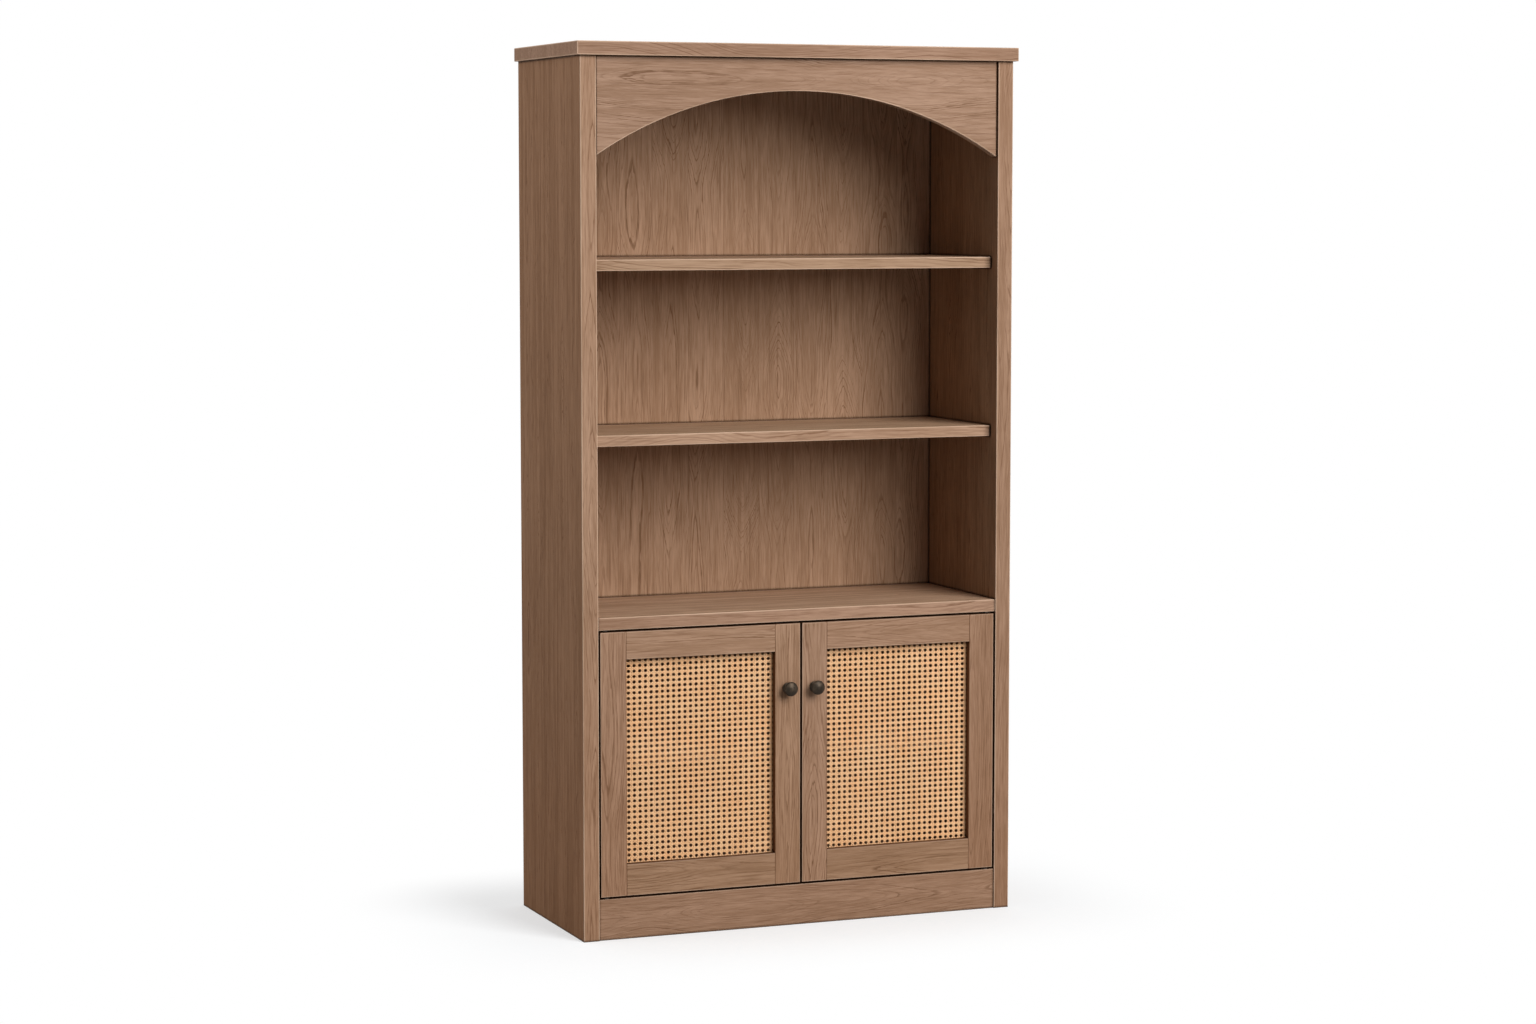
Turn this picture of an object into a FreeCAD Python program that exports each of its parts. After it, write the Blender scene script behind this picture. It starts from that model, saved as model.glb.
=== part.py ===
import FreeCAD, Part
import math
import os

from FreeCAD import Vector

# Arched bookcase with a two-door cane cabinet below three open bays.
# Millimetres. X runs left to right, Y from the front to the back, Z up.
# The origin lies on the floor, under the middle of the whole object.

# Case
case_width = 960.0
case_depth = 404.0
overall_height = 1829.0
side_thickness = 34.0
stile_depth = 28.0
case_edge_radius = 1.5

# Top board
top_thickness = 28.0
top_side_overhang = 8.5
top_front_overhang = 9.0
top_edge_radius = 1.5

# Heights from the floor upwards; the upper bay takes what is left
plinth_height = 85.5
cabinet_height = 554.0
deck_thickness = 26.0
lower_bay_height = 346.5
shelf_thickness = 23.0
middle_bay_height = 333.5

# Boards inside the case
rear_recess = 53.0
shelf_reveal = 0.5
shelf_corner_radius = 5.0
shelf_edge_radius = 1.5
deck_recess = 3.0
plinth_recess = 3.0
plinth_thickness = 20.0
floor_thickness = 18.0
rear_plinth_thickness = 18.0
back_thickness = 9.0
groove_depth = 8.0
groove_clearance = 0.2
rail_thickness = 18.0
upper_rail_height = 90.0
lower_rail_height = 70.0
cabinet_shelf_thickness = 18.0
cabinet_shelf_height = 268.0
cabinet_shelf_setback = 48.0
cabinet_shelf_clearance = 1.0

# Arched valance
arch_rise = 134.0
crown_height = 67.0
valance_thickness = 22.0
valance_recess = 5.0
valance_end_gap = 1.5
valance_edge_radius = 1.2

# Doors
door_gap = 3.5
door_recess = 1.5
door_thickness = 22.0
door_stile_width = 57.0
door_top_rail_height = 58.0
door_bottom_rail_height = 66.5
door_edge_radius = 1.5
door_joint_radius = 0.5
tenon_length = 14.0
tenon_thickness = 7.0
tenon_shoulder = 9.0
tenon_clearance = 0.2

# Cane sheet in its rabbet, held by mitred beads
cane_recess = 14.0
cane_thickness = 2.4
rabbet_width = 9.0
rabbet_clearance = 0.3
net_columns = 13
net_rows = 19
net_gap_sides = 8
net_gap_share = 0.42
net_border_share = 0.5
bead_clearance = 0.2

# Door pivots, hidden in the top and bottom edges
pivot_inset = 14.0
pivot_setback = 9.5
pin_radius = 3.0
pin_seat_depth = 22.0
pin_reach = 12.0
pin_clearance = 0.05
bush_wall = 1.5
bush_depth = 14.0
bush_flange_width = 2.0
bush_flange_thickness = 1.4
washer_width = 2.6
thrust_clearance = 0.3

# Knobs
knob_reach = 26.0
knob_height_share = 0.753
knob_flange_radius = 11.0
knob_flange_thickness = 2.6
knob_neck_radius = 5.6
knob_neck_length = 11.0
knob_head_radius = 15.0
knob_rim_thickness = 5.5
knob_crown = 4.5
knob_screw_radius = 2.0
knob_screw_bite = 9.0
knob_screw_head_radius = 4.2
knob_screw_head_height = 2.4

# Magnetic catches under the deck
catch_width = 40.0
catch_height = 15.0
catch_depth = 18.0
catch_wall = 3.0
magnet_depth = 9.0
strike_width = 30.0
strike_height = 12.0
strike_thickness = 1.5
strike_drop = 8.0
strike_clearance = 0.3

# Small hardware
dowel_radius = 4.0
dowel_length = 32.0
dowel_end_gap = 0.5
cam_radius = 7.5
cam_inset = 34.0
cam_above_axis = 5.0
cam_bolt_radius = 3.0
cam_bolt_bite = 12.0
cam_head_radius = 3.8
cam_head_length = 3.0
hole_clearance = 0.1
board_screw_radius = 2.0
board_screw_length = 26.0
board_screw_head_radius = 4.0
board_screw_head_height = 2.4
small_screw_radius = 1.5
small_screw_length = 13.0
small_screw_head_radius = 3.0
small_screw_head_height = 1.2
recess_width = 0.9
recess_depth = 1.0
shelf_pin_radius = 2.5
shelf_pin_bite = 10.0
shelf_pin_reach = 9.0
bracket_width = 32.0
bracket_leg = 30.0
bracket_thickness = 2.0
bracket_hole_radius = 2.75
bracket_inset = 120.0

# Where hardware sits along its boards, as shares of the board's length
shelf_dowel_shares = (0.30, 0.70)
shelf_cam_shares = (0.14, 0.86)
top_dowel_shares = (0.12, 0.50, 0.88)
valance_dowel_shares = (0.06, 0.28, 0.72, 0.94)
stile_dowel_shares = (0.05, 0.27, 0.50, 0.73, 0.95)
plinth_dowel_shares = (0.30, 0.70)
rail_dowel_shares = (0.28, 0.72)
back_screw_shares = (0.06, 0.35, 0.65, 0.94)
shelf_pin_shares = (0.18, 0.82)
catch_screw_shares = (0.16, 0.84)

# Shared small values
cut_overrun = 1.0
touch = 0.001

# Places worked out from the sizes above
half_case = case_width / 2
half_bay = half_case - side_thickness
case_height = overall_height - top_thickness
knob_proud = knob_reach - door_recess
front = (knob_proud - case_depth) / 2
rear = front + case_depth
back_rear = rear - rear_recess
back_front = back_rear - back_thickness
side_front = front + stile_depth
shelf_front = side_front + shelf_reveal
plinth_front = front + plinth_recess
plinth_rear = plinth_front + plinth_thickness
floor_bottom = plinth_height - floor_thickness
deck_bottom = plinth_height + cabinet_height
deck_top = deck_bottom + deck_thickness
deck_front = front + deck_recess
middle_shelf_bottom = deck_top + lower_bay_height
middle_shelf_top = middle_shelf_bottom + shelf_thickness
upper_shelf_bottom = middle_shelf_top + middle_bay_height
cabinet_shelf_bottom = plinth_height + cabinet_shelf_height
valance_front = front + valance_recess
arch_crown = case_height - crown_height

door_front = front + door_recess
door_rear = door_front + door_thickness
door_bottom = plinth_height + door_gap
door_top = deck_bottom - door_gap
door_outer = half_bay - door_gap
door_inner = door_gap / 2
opening_outer = door_outer - door_stile_width
opening_inner = door_inner + door_stile_width
opening_bottom = door_bottom + door_bottom_rail_height
opening_top = door_top - door_top_rail_height
cane_front = door_front + cane_recess
cane_rear = cane_front + cane_thickness
pivot_x = door_outer - pivot_inset
pivot_y = door_front + pivot_setback
bush_bore_radius = pin_radius + pin_clearance
bush_radius = bush_bore_radius + bush_wall
knob_x = (door_inner + opening_inner) / 2
knob_z = door_bottom + knob_height_share * (door_top - door_bottom)
strike_rear = door_rear + strike_thickness
catch_front = strike_rear + strike_clearance

SIDES = {"left": -1, "right": 1}
ALONG_X, ALONG_Y, ALONG_Z = Vector(1, 0, 0), Vector(0, 1, 0), Vector(0, 0, 1)


def box(x_pair, y_pair, z_pair):
    """A block between two values on each axis, in either order."""
    low = Vector(min(x_pair), min(y_pair), min(z_pair))
    high = Vector(max(x_pair), max(y_pair), max(z_pair))
    size = high - low
    return Part.makeBox(size.x, size.y, size.z, low)


def rod(start, direction, radius, length):
    return Part.makeCylinder(radius, length, start, direction)


def between(low, high, share):
    return low + (high - low) * share


def edges_on(shape, *planes):
    """Edges that lie in every one of the planes, each an axis and a value."""
    def lies_on(edge, axis, value):
        return all(abs(getattr(v.Point, axis) - value) < touch for v in edge.Vertexes)
    return [e for e in shape.Edges if all(lies_on(e, axis, value) for axis, value in planes)]


def ease(shape, radius, *picks):
    """Round each picked set of edges; a pick is a tuple of planes."""
    edges = [edge for planes in picks for edge in edges_on(shape, *planes)]
    return shape.makeFillet(radius, edges)


def bored(shape, tools):
    return shape.cut(tools) if tools else shape


def prism(points, direction):
    """A solid swept from a flat outline of points and the edges between them."""
    return Part.Face(Part.makePolygon(points + points[:1])).extrude(direction)


class Fasteners:
    """One kind of fastener: its solids and the holes that they sit in."""

    def __init__(self):
        self.solids = []
        self.holes = []

    def add(self, solid, *holes):
        self.solids.append(solid)
        self.holes.extend(holes)

    def group(self):
        return Part.makeCompound(self.solids)


def pinned(group, middle, direction, radius, length, share=0.5):
    """Add a plain round pin whose given share lies behind its middle point."""
    start = middle - direction * (length * share)
    group.add(rod(start, direction, radius, length),
              rod(start - direction * dowel_end_gap, direction, radius + hole_clearance,
                  length + 2 * dowel_end_gap))


def screw(group, seat, direction, sizes):
    """Add a screw driven along direction, with its head's underside on the seat."""
    radius, length, head_radius, head_height = sizes
    shank = rod(seat, direction, radius, length)
    head = rod(seat - direction * head_height, direction, head_radius, head_height)
    across = ALONG_X if abs(direction.x) < 0.5 else ALONG_Z
    solid = shank.fuse(head).removeSplitter()
    for width in (across, direction.cross(across)):
        solid = solid.cut(cross_slot(seat - direction * head_height, direction, width, head_radius))
    group.add(solid, rod(seat, direction, radius + hole_clearance, length + dowel_end_gap))


def cross_slot(head_face, direction, width, head_radius):
    """One arm of a screw head's cross recess."""
    thin = direction.cross(width) * recess_width
    arm = width * head_radius
    corner = head_face - arm / 2 - thin / 2 - direction * cut_overrun
    points = [corner, corner + arm, corner + arm + thin, corner + thin]
    return prism(points, direction * (cut_overrun + recess_depth))


# Case boards

def top_panel():
    half_top = half_case + top_side_overhang
    top_front = front - top_front_overhang
    board = box((-half_top, half_top), (top_front, rear), (case_height, overall_height))
    return board.makeFillet(top_edge_radius, board.Edges)


def side_panel(side):
    board = box((side * half_bay, side * half_case), (side_front, rear), (0, case_height))
    board = ease(board, case_edge_radius, (("x", side * half_case), ("y", rear)),
                 (("x", side * half_bay), ("y", rear)))
    groove = box((side * (half_bay - cut_overrun), side * (half_bay + groove_depth)),
                 (back_front - groove_clearance, back_rear + groove_clearance),
                 (-cut_overrun, case_height + cut_overrun))
    return board.cut(groove)


def front_stile(side):
    board = box((side * half_bay, side * half_case), (front, side_front), (0, case_height))
    return ease(board, case_edge_radius, (("x", side * half_case), ("y", front)),
                (("x", side * half_bay), ("y", front)))


def arched_valance():
    """A board whose lower edge is one arc of a circle from stile to stile."""
    half_length = half_bay - valance_end_gap
    arch_radius = (half_bay ** 2 + arch_rise ** 2) / (2 * arch_rise)
    arch_centre = arch_crown - arch_radius
    end_height = arch_centre + math.sqrt(arch_radius ** 2 - half_length ** 2)
    left_foot = Vector(-half_length, valance_front, end_height)
    right_foot = Vector(half_length, valance_front, end_height)
    left_top = Vector(-half_length, valance_front, case_height)
    right_top = Vector(half_length, valance_front, case_height)
    crown = Vector(0, valance_front, arch_crown)
    edges = [Part.Arc(left_foot, crown, right_foot).toShape(),
             Part.makeLine(right_foot, right_top),
             Part.makeLine(right_top, left_top),
             Part.makeLine(left_top, left_foot)]
    board = Part.Face(Part.Wire(edges)).extrude(Vector(0, valance_thickness, 0))
    return ease(board, valance_edge_radius, (("y", valance_front),))


def back_panel():
    half_panel = half_bay + groove_depth - groove_clearance
    return box((-half_panel, half_panel), (back_front, back_rear), (floor_bottom, case_height))


def rear_rail(bottom, height):
    return box((-half_bay, half_bay), (back_rear, back_rear + rail_thickness),
               (bottom, bottom + height))


def shelf(bottom):
    """An open-bay shelf with rounded front corners and eased front edges."""
    board = box((-half_bay, half_bay), (shelf_front, back_front),
                (bottom, bottom + shelf_thickness))
    board = ease(board, shelf_corner_radius, (("x", -half_bay), ("y", shelf_front)),
                 (("x", half_bay), ("y", shelf_front)))
    return ease(board, shelf_edge_radius, (("y", shelf_front), ("z", bottom)),
                (("y", shelf_front), ("z", bottom + shelf_thickness)))


def deck_shelf():
    board = box((-half_bay, half_bay), (deck_front, back_front), (deck_bottom, deck_top))
    return ease(board, shelf_edge_radius, (("y", deck_front), ("z", deck_bottom)),
                (("y", deck_front), ("z", deck_top)))


def cabinet_floor():
    return box((-half_bay, half_bay), (plinth_rear, back_front), (floor_bottom, plinth_height))


def plinth_board():
    board = box((-half_bay, half_bay), (plinth_front, plinth_rear), (0, plinth_height))
    return ease(board, case_edge_radius, (("y", plinth_front), ("z", plinth_height)))


def rear_plinth():
    return box((-half_bay, half_bay), (back_front - rear_plinth_thickness, back_front),
               (0, floor_bottom))


def cabinet_shelf():
    half_shelf = half_bay - cabinet_shelf_clearance
    board = box((-half_shelf, half_shelf),
                (front + cabinet_shelf_setback, back_front - cabinet_shelf_clearance),
                (cabinet_shelf_bottom, cabinet_shelf_bottom + cabinet_shelf_thickness))
    return ease(board, shelf_edge_radius, (("y", front + cabinet_shelf_setback),))


# Case hardware

def shelf_boards():
    """Fixed boards that are pinned to the sides: front edge, underside and thickness."""
    return ((plinth_rear, floor_bottom, floor_thickness),
            (deck_front, deck_bottom, deck_thickness),
            (shelf_front, middle_shelf_bottom, shelf_thickness),
            (shelf_front, upper_shelf_bottom, shelf_thickness))


def shelf_dowels():
    group = Fasteners()
    for board_front, bottom, thickness in shelf_boards():
        for side in SIDES.values():
            for share in shelf_dowel_shares:
                middle = Vector(side * half_bay, between(board_front, back_front, share),
                                bottom + thickness / 2)
                pinned(group, middle, ALONG_X, dowel_radius, dowel_length)
    return group


def cam_fittings():
    """Bolts in the sides, and the round locks in the shelves that draw them in."""
    bolts, locks = Fasteners(), Fasteners()
    for board_front, bottom, thickness in shelf_boards():
        for side in SIDES.values():
            for share in shelf_cam_shares:
                outward = ALONG_X * side
                axis = Vector(side * (half_bay - cam_inset),
                              between(max(board_front, side_front), back_front, share),
                              bottom + thickness / 2)
                inner = axis - outward * (cam_head_length / 2)
                shank_length = cam_inset + cam_bolt_bite
                bolt = rod(axis, outward, cam_bolt_radius, shank_length)
                head = rod(inner, outward, cam_head_radius, cam_head_length)
                bolts.add(bolt.fuse(head).removeSplitter(),
                          rod(axis, outward, cam_bolt_radius + hole_clearance,
                              shank_length + dowel_end_gap))
                under = Vector(axis.x, axis.y, bottom)
                height = thickness / 2 + cam_above_axis
                lock = rod(under, ALONG_Z, cam_radius, height)
                pocket = rod(inner - outward * hole_clearance, outward,
                             cam_head_radius + hole_clearance, cam_radius + cam_head_length)
                locks.add(lock.cut(pocket),
                          rod(under - ALONG_Z * cut_overrun, ALONG_Z,
                              cam_radius + hole_clearance, height + cut_overrun + dowel_end_gap))
    return bolts, locks


def top_dowels():
    group = Fasteners()
    for side in SIDES.values():
        for share in top_dowel_shares:
            middle = Vector(side * (half_bay + side_thickness / 2),
                            between(side_front, rear, share), case_height)
            pinned(group, middle, ALONG_Z, dowel_radius, dowel_length)
    for share in valance_dowel_shares:
        middle = Vector(between(-half_bay, half_bay, share),
                        valance_front + valance_thickness / 2, case_height)
        pinned(group, middle, ALONG_Z, dowel_radius, dowel_length)
    return group


def stile_dowels():
    group = Fasteners()
    for side in SIDES.values():
        for share in stile_dowel_shares:
            middle = Vector(side * (half_bay + side_thickness / 2), side_front,
                            case_height * share)
            pinned(group, middle, ALONG_Y, dowel_radius, dowel_length)
    return group


def plinth_dowels():
    """Dowels from the stiles into the plinth, and from the sides into the rear plinth."""
    group = Fasteners()
    plinth_y = plinth_front + plinth_thickness / 2
    rear_y = back_front - rear_plinth_thickness / 2
    for side in SIDES.values():
        for share in plinth_dowel_shares:
            for y, height in ((plinth_y, plinth_height), (rear_y, floor_bottom)):
                middle = Vector(side * half_bay, y, height * share)
                pinned(group, middle, ALONG_X, dowel_radius, dowel_length)
    return group


def rail_dowels():
    group = Fasteners()
    rail_y = back_rear + rail_thickness / 2
    rails = ((case_height - upper_rail_height, upper_rail_height),
             (floor_bottom, lower_rail_height))
    for bottom, height in rails:
        for side in SIDES.values():
            for share in rail_dowel_shares:
                middle = Vector(side * half_bay, rail_y, bottom + height * share)
                pinned(group, middle, ALONG_X, dowel_radius, dowel_length)
    return group


def back_panel_screws():
    """Screws through the back panel into the rear edges of the three fixed shelves."""
    group = Fasteners()
    for bottom, thickness in ((deck_bottom, deck_thickness),
                              (middle_shelf_bottom, shelf_thickness),
                              (upper_shelf_bottom, shelf_thickness)):
        for share in back_screw_shares:
            seat = Vector(between(-half_bay, half_bay, share), back_rear, bottom + thickness / 2)
            screw(group, seat, -ALONG_Y, (board_screw_radius, board_screw_length,
                                          board_screw_head_radius, board_screw_head_height))
    return group


def cabinet_shelf_pins():
    """Pins in the sides that carry the shelf inside the cabinet."""
    group = Fasteners()
    shelf_start = front + cabinet_shelf_setback
    for side in SIDES.values():
        for share in shelf_pin_shares:
            middle = Vector(side * half_bay, between(shelf_start, back_front, share),
                            cabinet_shelf_bottom - shelf_pin_radius)
            length = shelf_pin_bite + shelf_pin_reach
            pinned(group, middle, ALONG_X * -side, shelf_pin_radius, length,
                   shelf_pin_bite / length)
    return group


def wall_bracket(side):
    """An angle under the top board, with its upright leg flush with the case's rear."""
    centre = side * (half_bay - bracket_inset)
    width = (centre - bracket_width / 2, centre + bracket_width / 2)
    foot = box(width, (rear - bracket_leg, rear),
               (case_height - bracket_thickness, case_height))
    leg = box(width, (rear - bracket_thickness, rear),
              (case_height - bracket_leg, case_height))
    hole_z = case_height - bracket_leg / 2
    hole = rod(Vector(centre, rear - bracket_thickness - cut_overrun, hole_z), ALONG_Y,
               bracket_hole_radius, bracket_thickness + 2 * cut_overrun)
    return foot.fuse(leg).removeSplitter().cut(hole)


def wall_bracket_screws():
    group = Fasteners()
    for side in SIDES.values():
        centre = side * (half_bay - bracket_inset)
        for offset in (-bracket_width / 4, bracket_width / 4):
            seat = Vector(centre + offset, rear - bracket_leg / 2, case_height - bracket_thickness)
            screw(group, seat, ALONG_Z, (small_screw_radius, small_screw_length,
                                         small_screw_head_radius, small_screw_head_height))
    return group


def pivot_bush(side, seat_z, outward):
    """A flanged bush in a blind hole; outward points from the seat into the board."""
    seat = Vector(side * pivot_x, pivot_y, seat_z)
    sleeve = rod(seat, outward, bush_radius, bush_depth)
    flange = rod(seat - outward * bush_flange_thickness, outward,
                 bush_radius + bush_flange_width, bush_flange_thickness)
    bore = rod(seat - outward * (bush_flange_thickness + cut_overrun), outward,
               bush_bore_radius, bush_depth + bush_flange_thickness + 2 * cut_overrun)
    return sleeve.fuse(flange).removeSplitter().cut(bore)


def pivot_bushes(side):
    group = Fasteners()
    for seat_z, outward in ((plinth_height, -ALONG_Z), (deck_bottom, ALONG_Z)):
        seat = Vector(side * pivot_x, pivot_y, seat_z)
        group.add(pivot_bush(side, seat_z, outward),
                  rod(seat - outward * cut_overrun, outward, bush_radius + hole_clearance,
                      bush_depth + cut_overrun + dowel_end_gap))
    return group


def catch_x_pair(side):
    return (side * knob_x - catch_width / 2, side * knob_x + catch_width / 2)


def catch_pocket(side, clearance):
    """The space for the magnet in the front of its housing."""
    low_x, high_x = catch_x_pair(side)
    return box((low_x + catch_wall - clearance, high_x - catch_wall + clearance),
               (catch_front, catch_front + magnet_depth + clearance),
               (deck_bottom - catch_height + catch_wall - clearance,
                deck_bottom - catch_wall + clearance))


def catch_housing(side):
    block = box(catch_x_pair(side), (catch_front, catch_front + catch_depth),
                (deck_bottom - catch_height, deck_bottom))
    return block.cut(catch_pocket(side, hole_clearance))


def catch_screws():
    """Screws up through the solid rear of each housing into the deck."""
    group = Fasteners()
    screw_y = (catch_front + magnet_depth + catch_front + catch_depth) / 2
    for side in SIDES.values():
        low_x, high_x = catch_x_pair(side)
        for share in catch_screw_shares:
            seat = Vector(between(low_x, high_x, share), screw_y, deck_bottom - catch_height)
            screw(group, seat, ALONG_Z, (small_screw_radius, catch_height + small_screw_length,
                                         small_screw_head_radius, small_screw_head_height))
    return group


# Doors

def door_pocket(side, margin, deep_from):
    """The rear rabbet of a door frame, grown or shrunk by a margin."""
    return box((side * (opening_inner - margin), side * (opening_outer + margin)),
               (deep_from, door_rear + cut_overrun),
               (opening_bottom - margin, opening_top + margin))


def rail_spans():
    """Underside and top of the bottom rail and of the top rail."""
    return ((door_bottom, opening_bottom), (opening_top, door_top))


def tenon(side, joint, outward, span, clearance):
    """A stub tenon that runs outward from a rail's end into a stile."""
    middle_y = door_front + cane_recess / 2
    half = tenon_thickness / 2 + clearance
    low, high = span
    reach = tenon_length + clearance
    return box((joint - outward * cut_overrun, joint + outward * reach),
               (middle_y - half, middle_y + half),
               (low + tenon_shoulder - clearance, high - tenon_shoulder + clearance))


def door_stile(side, outer_x, inner_x):
    """A full-height door member; outer_x is the door's edge, inner_x the opening's."""
    member = box((side * outer_x, side * inner_x), (door_front, door_rear),
                 (door_bottom, door_top))
    member = ease(member, door_edge_radius,
                  (("x", side * outer_x), ("y", door_front)),
                  (("z", door_bottom), ("y", door_front)),
                  (("z", door_top), ("y", door_front)))
    member = ease(member, door_joint_radius, (("x", side * inner_x), ("y", door_front)))
    member = member.cut(door_pocket(side, rabbet_width, cane_front))
    into_stile = side if outer_x > inner_x else -side
    mortises = [tenon(side, side * inner_x, into_stile, span, tenon_clearance)
                for span in rail_spans()]
    return member.cut(mortises)


def door_rail(side, span, outer_z):
    """A door member between the stiles, with a stub tenon at each end."""
    low, high = span
    member = box((side * opening_inner, side * opening_outer), (door_front, door_rear), span)
    inner_z = low if outer_z == high else high
    member = ease(member, door_edge_radius, (("z", outer_z), ("y", door_front)))
    member = ease(member, door_joint_radius, (("z", inner_z), ("y", door_front)))
    member = member.cut(door_pocket(side, rabbet_width, cane_front))
    ends = [tenon(side, side * opening_outer, side, span, 0),
            tenon(side, side * opening_inner, -side, span, 0)]
    return member.fuse(ends).removeSplitter()


def cane_panel(side):
    """A sheet of open cane: one holed face of eight-sided gaps, given its thickness."""
    margin = rabbet_width - rabbet_clearance
    low_x, high_x = sorted((side * (opening_inner - margin), side * (opening_outer + margin)))
    low_z, high_z = opening_bottom - margin, opening_top + margin
    width = opening_outer - opening_inner
    height = opening_top - opening_bottom
    pitch_x = width / (net_columns - 1 + 2 * net_border_share)
    pitch_z = height / (net_rows - 1 + 2 * net_border_share)
    start_x = min(side * opening_inner, side * opening_outer) + net_border_share * pitch_x
    start_z = opening_bottom + net_border_share * pitch_z
    wires = [Part.makePolygon([Vector(low_x, cane_front, low_z), Vector(high_x, cane_front, low_z),
                               Vector(high_x, cane_front, high_z), Vector(low_x, cane_front, high_z),
                               Vector(low_x, cane_front, low_z)])]
    for column in range(net_columns):
        for row in range(net_rows):
            centre = Vector(start_x + column * pitch_x, cane_front, start_z + row * pitch_z)
            wires.append(net_gap(centre, min(pitch_x, pitch_z) * net_gap_share / 2))
    return Part.Face(wires).extrude(Vector(0, cane_thickness, 0))


def net_gap(centre, half_width):
    """An upright eight-sided outline with flat sides up, down, left and right."""
    half_angle = math.pi / net_gap_sides
    radius = half_width / math.cos(half_angle)
    corners = []
    for index in range(net_gap_sides + 1):
        angle = (2 * index + 1) * half_angle
        corners.append(centre + Vector(radius * math.cos(angle), 0, radius * math.sin(angle)))
    return Part.makePolygon(corners)


def cane_beads(side):
    """Four mitred beads that fill the rabbet behind the cane sheet."""
    grow = rabbet_width - bead_clearance
    x_in, x_out = side * opening_inner, side * opening_outer
    outer_x = (side * (opening_inner - grow), side * (opening_outer + grow))
    outer_z = (opening_bottom - grow, opening_top + grow)

    def bead(ends, inner_ends):
        (start, end), (inner_start, inner_end) = ends, inner_ends
        corners = [start, end, inner_end, inner_start]
        points = [Vector(x, cane_rear, z) for x, z in corners]
        return prism(points, Vector(0, door_rear - cane_rear, 0))

    low_out, low_in = outer_z[0], opening_bottom
    high_out, high_in = outer_z[1], opening_top
    return Part.makeCompound([
        bead(((outer_x[0], low_out), (outer_x[1], low_out)), ((x_in, low_in), (x_out, low_in))),
        bead(((outer_x[0], high_out), (outer_x[1], high_out)), ((x_in, high_in), (x_out, high_in))),
        bead(((outer_x[0], low_out), (outer_x[0], high_out)), ((x_in, low_in), (x_in, high_in))),
        bead(((outer_x[1], low_out), (outer_x[1], high_out)), ((x_out, low_in), (x_out, high_in)))])


def pivot_pins(side):
    """Pins set in the door's bottom and top edges, on the hinge axis."""
    group = Fasteners()
    for edge_z, outward in ((door_bottom, -ALONG_Z), (door_top, ALONG_Z)):
        edge = Vector(side * pivot_x, pivot_y, edge_z)
        length = pin_seat_depth + door_gap + pin_reach
        group.add(rod(edge - outward * pin_seat_depth, outward, pin_radius, length),
                  rod(edge - outward * pin_seat_depth, outward, pin_radius + hole_clearance,
                      pin_seat_depth + cut_overrun))
    return group


def thrust_washer(side):
    """A washer on the lower pin that carries the door on the bush's flange."""
    thickness = door_gap - bush_flange_thickness - thrust_clearance
    under_door = Vector(side * pivot_x, pivot_y, door_bottom - thickness)
    ring = rod(under_door, ALONG_Z, pin_radius + washer_width, thickness)
    return ring.cut(rod(under_door - ALONG_Z * cut_overrun, ALONG_Z, pin_radius + pin_clearance,
                        thickness + 2 * cut_overrun))


def knob(side):
    """A turned knob: flange, waisted neck and a rounded head with a domed front."""
    def place(radius, reach):
        return Vector(side * knob_x + radius, door_front - reach, knob_z)

    rim_front = knob_reach - knob_crown
    rim_back = rim_front - knob_rim_thickness
    rim_middle = (rim_back + rim_front) / 2
    rim_curve = (rim_front - rim_back) / 2
    crown_edge = knob_head_radius - rim_curve / 2
    crown_radius = (crown_edge ** 2 + knob_crown ** 2) / (2 * knob_crown)
    crown_fall = crown_radius - math.sqrt(crown_radius ** 2 - (crown_edge / 2) ** 2)
    neck_start = knob_flange_thickness
    neck_end = neck_start + knob_neck_length
    waist = (neck_start + neck_end) / 2
    outline = [place(0, 0), place(knob_flange_radius, 0),
               place(knob_flange_radius, knob_flange_thickness / 2),
               place((knob_flange_radius + knob_neck_radius) / 2, knob_flange_thickness),
               place((knob_neck_radius + knob_head_radius) / 2, neck_end),
               place(crown_edge, rim_back),
               place(crown_edge, rim_front),
               place(0, knob_reach)]
    crown_middle = place(crown_edge / 2, knob_reach - crown_fall)
    edges = [Part.makeLine(outline[0], outline[1]), Part.makeLine(outline[1], outline[2]),
             Part.makeLine(outline[2], outline[3]),
             Part.Arc(outline[3], place(knob_neck_radius, waist), outline[4]).toShape(),
             Part.makeLine(outline[4], outline[5]),
             Part.Arc(outline[5], place(knob_head_radius, rim_middle), outline[6]).toShape(),
             Part.Arc(outline[6], crown_middle, outline[7]).toShape(),
             Part.makeLine(outline[7], outline[0])]
    turned = Part.Face(Part.Wire(edges)).revolve(place(0, 0), ALONG_Y, 360)
    bore = rod(place(0, -cut_overrun), -ALONG_Y, knob_screw_radius + hole_clearance,
               knob_screw_bite + cut_overrun + dowel_end_gap)
    return turned.cut(bore)


def knob_screw(side):
    group = Fasteners()
    seat = Vector(side * knob_x, door_rear, knob_z)
    screw(group, seat, -ALONG_Y, (knob_screw_radius, door_thickness + knob_screw_bite,
                                  knob_screw_head_radius, knob_screw_head_height))
    return group


def strike_middle_z():
    return door_top - strike_drop


def strike_plate(side):
    middle_z = strike_middle_z()
    plate = box((side * knob_x - strike_width / 2, side * knob_x + strike_width / 2),
                (door_rear, strike_rear), (middle_z - strike_height / 2, middle_z + strike_height / 2))
    hole = rod(Vector(side * knob_x, door_rear - cut_overrun, middle_z), ALONG_Y,
               small_screw_radius + hole_clearance, strike_thickness + 2 * cut_overrun)
    sink = Part.makeCone(small_screw_radius, small_screw_head_radius, strike_thickness,
                         Vector(side * knob_x, door_rear, middle_z), ALONG_Y)
    return plate.cut([hole, sink])


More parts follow.
